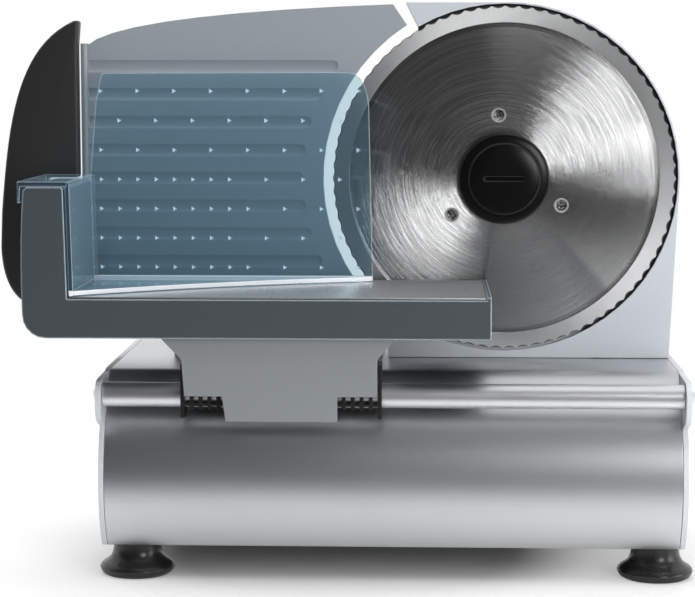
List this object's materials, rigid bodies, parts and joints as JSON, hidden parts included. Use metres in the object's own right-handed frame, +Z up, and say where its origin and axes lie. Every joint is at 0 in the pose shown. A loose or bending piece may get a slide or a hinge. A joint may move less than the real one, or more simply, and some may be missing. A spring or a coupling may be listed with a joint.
{
  "type": "electric food slicer",
  "caption": "Electric food slicer with a serrated round blade, sliding food carriage with clear pusher, ribbed thickness gauge plate and suction-footed steel base.",
  "frame": {"origin": "centre of the footprint at floor level", "axes": "+X along the rail to the blade side, +Y away from the user through the blade, +Z up"},
  "size_m": [0.3802, 0.2054, 0.3089],
  "materials": {
    "brushed_steel": "brushed",
    "blade_steel": "polished",
    "polished_steel": "polished",
    "motor_steel": "satin",
    "pale_plastic": "satin",
    "dark_plastic": "satin",
    "grey_plastic": "satin",
    "black_plastic": "satin",
    "clear_plastic": "clear blue",
    "rubber": "matte",
    "nylon": "matte",
    "bronze": "sintered"
  },
  "bodies": {
    "base": {"base_shell": "brushed_steel", "end_cap_left": "dark_plastic", "end_cap_right": "dark_plastic", "base_plate": "black_plastic", "base_screw_front_left": "polished_steel", "base_screw_front_right": "polished_steel", "base_screw_rear_left": "polished_steel", "base_screw_rear_right": "polished_steel", "foot_front_left": "rubber", "foot_front_right": "rubber", "foot_rear_left": "rubber", "foot_rear_right": "rubber", "slide_rail": "polished_steel", "rail_screw_left": "polished_steel", "rail_screw_right": "polished_steel", "blade_housing": "pale_plastic", "rear_cover": "pale_plastic", "cover_screw_1": "polished_steel", "cover_screw_2": "polished_steel", "cover_screw_3": "polished_steel", "cover_screw_4": "polished_steel", "spindle_bush": "bronze", "worm_bush": "bronze", "motor": "motor_steel", "switch_frame": "black_plastic", "gauge_deck": "pale_plastic", "guide_rod_left": "polished_steel", "guide_rod_right": "polished_steel", "cord_gland": "rubber"},
    "carriage": {"carriage_tray": "dark_plastic", "tray_plate": "brushed_steel", "carriage_bracket": "grey_plastic", "slide_block": "black_plastic", "thumb_guard": "black_plastic", "carriage_screw_left": "polished_steel", "carriage_screw_right": "polished_steel"},
    "pusher": {"food_pusher": "clear_plastic", "pusher_plate": "clear_plastic"},
    "gauge": {"gauge_plate": "pale_plastic", "gauge_carrier": "grey_plastic", "plate_screw_1": "polished_steel", "plate_screw_2": "polished_steel"},
    "dial": {"thickness_dial": "black_plastic", "gauge_cam": "nylon"},
    "blade_unit": {"blade": "blade_steel", "drive_gear": "nylon", "blade_screw_1": "polished_steel", "blade_screw_2": "polished_steel", "blade_screw_3": "polished_steel", "blade_spindle": "polished_steel", "cross_pin": "polished_steel", "retaining_ring": "polished_steel"},
    "lock": {"blade_lock": "black_plastic"},
    "worm": {"worm_shaft": "polished_steel"},
    "switch": {"power_switch": "black_plastic"}
  },
  "joints": [
    {"name": "carriage_slide", "type": "slide", "parent": "base", "child": "carriage", "axis": [1, 0, 0], "range_m": [-0.04, 0.156]},
    {"name": "pusher_slide", "type": "slide", "parent": "carriage", "child": "pusher", "axis": [0, -1, 0], "range_m": [0, 0.08]},
    {"name": "dial_turn", "type": "hinge", "parent": "base", "child": "dial", "pos_m": [-0.04115, 0.09295, 0.12125], "axis": [0, 1, 0], "range_deg": [0, 300]},
    {"name": "gauge_slide", "type": "slide", "parent": "base", "child": "gauge", "axis": [0, 1, 0], "range_m": [0, 0.015]},
    {"name": "blade_spin", "type": "hinge", "parent": "base", "child": "blade_unit", "pos_m": [0.08885, -0.00465, 0.212], "axis": [0, 1, 0], "continuous": true},
    {"name": "lock_turn", "type": "hinge", "parent": "blade_unit", "child": "lock", "pos_m": [0.08885, -0.00465, 0.212], "axis": [0, 1, 0], "range_deg": [0, 90]},
    {"name": "worm_spin", "type": "hinge", "parent": "base", "child": "worm", "pos_m": [0.14185, 0.00535, 0.212], "axis": [0, 0, 1], "continuous": true},
    {"name": "switch_tilt", "type": "hinge", "parent": "base", "child": "switch", "pos_m": [0.13885, 0.04335, 0.15], "axis": [1, 0, 0], "range_deg": [0, 16]}
  ],
  "couplings": [
    {"joint": "dial_turn", "follows": "gauge_slide", "rad_per_m": 349.06},
    {"joint": "worm_spin", "follows": "blade_spin", "ratio": 72}
  ]
}
